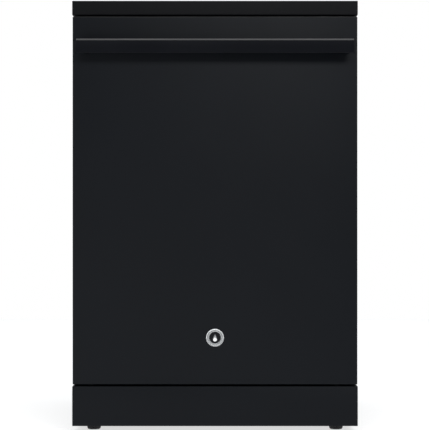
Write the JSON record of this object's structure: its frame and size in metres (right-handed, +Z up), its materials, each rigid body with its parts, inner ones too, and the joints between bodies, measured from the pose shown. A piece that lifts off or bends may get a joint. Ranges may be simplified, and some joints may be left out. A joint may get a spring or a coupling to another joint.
{
  "type": "dishwasher",
  "caption": "Under-counter dishwasher with its own lid, a drop-down door with a full-width bar handle, sliding racks, turning spray arms, a plinth and levelling feet.",
  "frame": {"origin": "on the floor, under the middle of the machine's bounding box", "axes": "+Z up, -Y out of the door's front, +X to the right seen from the front"},
  "size_m": [0.598, 0.638, 0.9045],
  "materials": {
    "lid_laminate": "fine-grained black laminate on board, satin",
    "black_enamel": "satin black powder coat on steel",
    "black_bar": "satin black coated aluminium",
    "black_plastic": "fine moulded grain",
    "grey_plastic": "fine moulded grain",
    "white_plastic": "fine moulded grain",
    "stainless": "lightly brushed stainless sheet",
    "galvanised": "zinc-coated steel",
    "coated_wire": "grey polymer coating on steel wire",
    "rubber": "matte rubber",
    "bitumen": "sound-deadening mat",
    "badge_chrome": "polished ring round a dark disc",
    "dark_glass": "dark gloss window"
  },
  "bodies": {
    "cabinet": {"top_lid": "lid_laminate", "side_panel_left": "black_enamel", "side_panel_right": "black_enamel", "rear_panel": "galvanised", "plinth": "black_enamel", "base_tray": "black_plastic", "front_rail": "galvanised", "tub_wrap": "stainless", "tub_back": "stainless", "tub_floor": "stainless", "tub_gasket": "rubber", "sump": "grey_plastic", "filter_plate": "stainless", "circulation_pump": "grey_plastic", "drain_pump": "black_plastic", "water_softener": "white_plastic", "inlet_valve": "white_plastic", "drain_port": "black_plastic", "cable_gland": "black_plastic", "hinge_bracket_left": "galvanised", "hinge_bracket_right": "galvanised", "feed_pipe": "grey_plastic", "rail_guide_left": "white_plastic", "rail_guide_right": "white_plastic"},
    "door": {"door_outer_panel": "black_enamel", "door_liner": "stainless", "door_insulation": "bitumen", "control_housing": "black_plastic", "display_window": "dark_glass", "latch_hook": "galvanised", "handle_bar": "black_bar", "handle_post_left": "black_bar", "handle_post_right": "black_bar", "badge": "badge_chrome", "dispenser_housing": "grey_plastic", "hinge_arm_left": "galvanised", "hinge_arm_right": "galvanised"},
    "lower_rack": {"lower_rack": "coated_wire", "cutlery_basket": "grey_plastic"},
    "upper_rack": {"upper_rack": "coated_wire", "upper_feed_pipe": "grey_plastic"},
    "lower_arm": {"lower_spray_arm": "grey_plastic"},
    "upper_arm": {"upper_spray_arm": "grey_plastic"},
    "ceiling_arm": {"ceiling_spray_arm": "grey_plastic"},
    "filter": {"filter_cylinder": "grey_plastic"},
    "salt_lid": {"salt_cap": "grey_plastic"},
    "detergent_lid": {"dispenser_lid": "grey_plastic"},
    "rinse_cap": {"rinse_aid_cap": "grey_plastic"},
    "button_1": {"button_1": "grey_plastic"},
    "button_2": {"button_2": "grey_plastic"},
    "button_3": {"button_3": "grey_plastic"},
    "button_4": {"button_4": "grey_plastic"},
    "foot_front_left": {"foot_front_left": "black_plastic"},
    "foot_front_right": {"foot_front_right": "black_plastic"},
    "foot_rear_left": {"foot_rear_left": "black_plastic"},
    "foot_rear_right": {"foot_rear_right": "black_plastic"},
    "rack_wheel_front_left": {"rack_wheel_front_left": "grey_plastic"},
    "rack_wheel_front_right": {"rack_wheel_front_right": "grey_plastic"},
    "rack_wheel_rear_left": {"rack_wheel_rear_left": "grey_plastic"},
    "rack_wheel_rear_right": {"rack_wheel_rear_right": "grey_plastic"}
  },
  "joints": [
    {"name": "door_hinge", "type": "hinge", "parent": "cabinet", "child": "door", "pos_m": [0, -0.272, 0.11], "axis": [1, 0, 0], "range_deg": [0, 90]},
    {"name": "lower_rack_slide", "type": "slide", "parent": "cabinet", "child": "lower_rack", "axis": [0, -1, 0], "range_m": [0, 0.22]},
    {"name": "upper_rack_slide", "type": "slide", "parent": "cabinet", "child": "upper_rack", "axis": [0, -1, 0], "range_m": [0, 0.425]},
    {"name": "lower_arm_spin", "type": "hinge", "parent": "cabinet", "child": "lower_arm", "pos_m": [0, 0.022, 0.186], "axis": [0, 0, 1], "continuous": true},
    {"name": "upper_arm_spin", "type": "hinge", "parent": "upper_rack", "child": "upper_arm", "pos_m": [0, 0.022, 0.463], "axis": [0, 0, 1], "continuous": true},
    {"name": "ceiling_arm_spin", "type": "hinge", "parent": "cabinet", "child": "ceiling_arm", "pos_m": [0, 0.022, 0.826], "axis": [0, 0, 1], "continuous": true},
    {"name": "filter_turn", "type": "hinge", "parent": "cabinet", "child": "filter", "pos_m": [0.075, -0.045, 0.161], "axis": [0, 0, 1], "range_deg": [0, 90]},
    {"name": "salt_cap_turn", "type": "hinge", "parent": "cabinet", "child": "salt_lid", "pos_m": [-0.19, 0.18, 0.161], "axis": [0, 0, 1], "range_deg": [0, 360]},
    {"name": "detergent_lid_slide", "type": "slide", "parent": "door", "child": "detergent_lid", "axis": [0, 0, 1], "range_m": [0, 0.06]},
    {"name": "rinse_cap_turn", "type": "hinge", "parent": "door", "child": "rinse_cap", "pos_m": [0.047, -0.217, 0.416], "axis": [0, 1, 0], "range_deg": [0, 90]},
    {"name": "button_1_press", "type": "slide", "parent": "door", "child": "button_1", "axis": [0, 0, -1], "range_m": [0, 0.001], "stiffness_N_per_m": 300, "springref_m": -0.001},
    {"name": "button_2_press", "type": "slide", "parent": "door", "child": "button_2", "axis": [0, 0, -1], "range_m": [0, 0.001], "stiffness_N_per_m": 300, "springref_m": -0.001},
    {"name": "button_3_press", "type": "slide", "parent": "door", "child": "button_3", "axis": [0, 0, -1], "range_m": [0, 0.001], "stiffness_N_per_m": 300, "springref_m": -0.001},
    {"name": "button_4_press", "type": "slide", "parent": "door", "child": "button_4", "axis": [0, 0, -1], "range_m": [0, 0.001], "stiffness_N_per_m": 300, "springref_m": -0.001},
    {"name": "foot_front_left_turn", "type": "hinge", "parent": "cabinet", "child": "foot_front_left", "pos_m": [-0.258, -0.215, 0.01], "axis": [0, 0, 1], "continuous": true},
    {"name": "foot_front_right_turn", "type": "hinge", "parent": "cabinet", "child": "foot_front_right", "pos_m": [0.258, -0.215, 0.01], "axis": [0, 0, 1], "continuous": true},
    {"name": "foot_rear_left_turn", "type": "hinge", "parent": "cabinet", "child": "foot_rear_left", "pos_m": [-0.258, 0.285, 0.01], "axis": [0, 0, 1], "continuous": true},
    {"name": "foot_rear_right_turn", "type": "hinge", "parent": "cabinet", "child": "foot_rear_right", "pos_m": [0.258, 0.285, 0.01], "axis": [0, 0, 1], "continuous": true},
    {"name": "rack_wheel_front_left_roll", "type": "hinge", "parent": "lower_rack", "child": "rack_wheel_front_left", "pos_m": [-0.257, -0.08, 0.181], "axis": [1, 0, 0], "continuous": true},
    {"name": "rack_wheel_front_right_roll", "type": "hinge", "parent": "lower_rack", "child": "rack_wheel_front_right", "pos_m": [0.257, -0.08, 0.181], "axis": [1, 0, 0], "continuous": true},
    {"name": "rack_wheel_rear_left_roll", "type": "hinge", "parent": "lower_rack", "child": "rack_wheel_rear_left", "pos_m": [-0.257, 0.2, 0.181], "axis": [1, 0, 0], "continuous": true},
    {"name": "rack_wheel_rear_right_roll", "type": "hinge", "parent": "lower_rack", "child": "rack_wheel_rear_right", "pos_m": [0.257, 0.2, 0.181], "axis": [1, 0, 0], "continuous": true}
  ],
  "couplings": [
    {"joint": "lower_rack_slide", "follows": "door_hinge", "m_per_rad": 0.14},
    {"joint": "upper_rack_slide", "follows": "door_hinge", "m_per_rad": 0.27}
  ]
}
